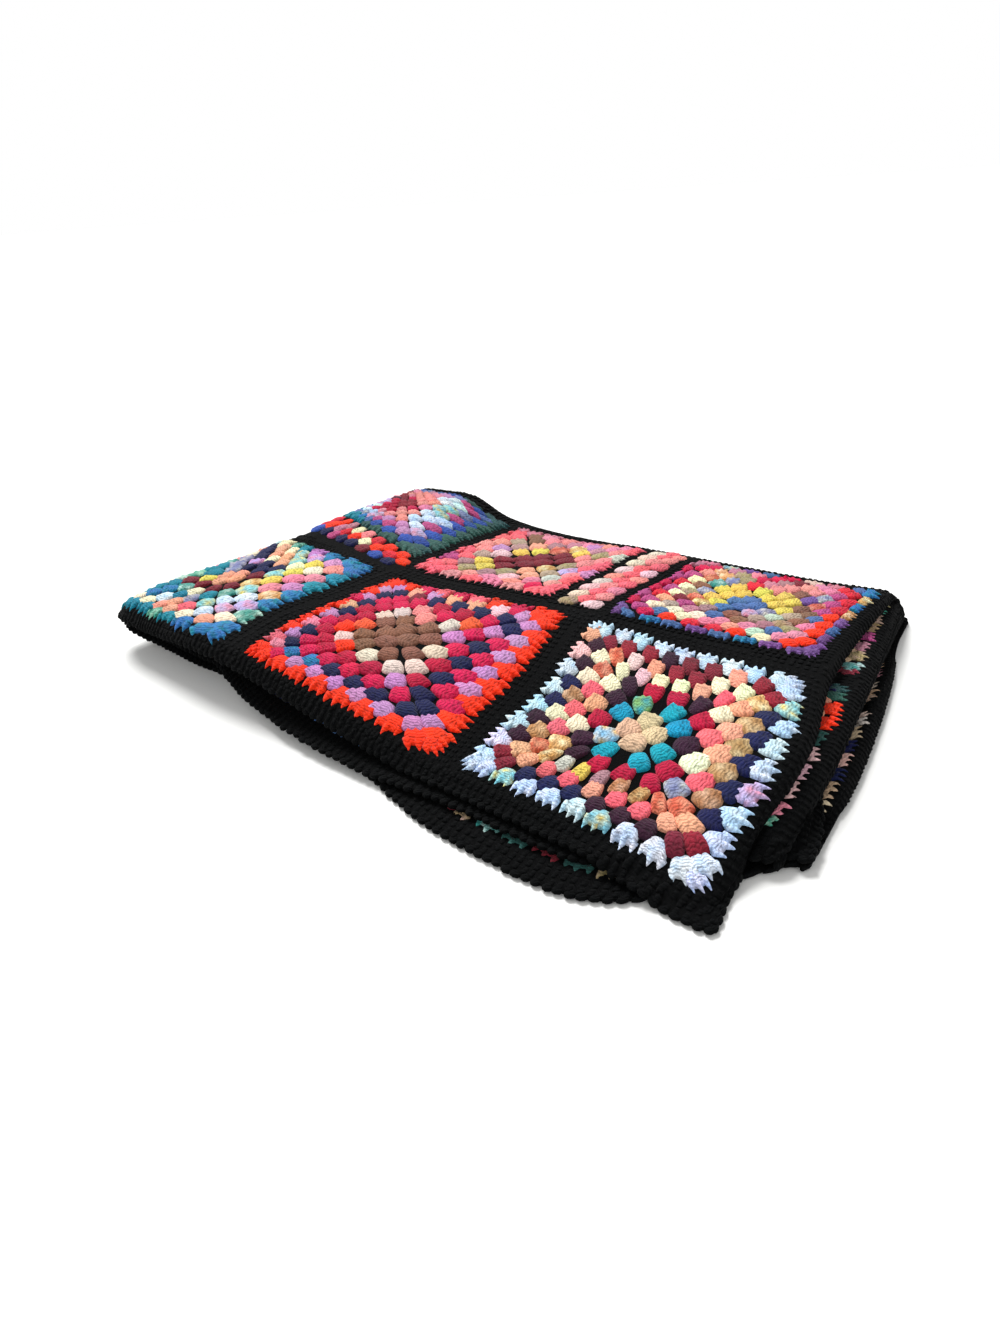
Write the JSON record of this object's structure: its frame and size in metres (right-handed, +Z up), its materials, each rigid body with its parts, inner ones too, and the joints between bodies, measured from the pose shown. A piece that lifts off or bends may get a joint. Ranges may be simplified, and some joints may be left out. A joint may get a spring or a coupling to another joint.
{
  "type": "granny square blanket",
  "caption": "Crocheted patchwork blanket of granny squares with black joining bands and a black border, folded in half both ways so that its layers lie in a loose stack.",
  "frame": {"origin": "middle of the folded blanket's footprint, on the floor it lies on", "axes": "+X along the long side, away from the side fold and towards the free side edges; +Y towards the long folded edge at the back, away from the free front edges; +Z up"},
  "size_m": [0.795, 0.5484, 0.0668],
  "materials": {
    "yarn": "crocheted wool-blend yarn, matt and slightly fuzzy"
  },
  "bodies": {
    "root": {"blanket": "yarn"}
  },
  "joints": []
}
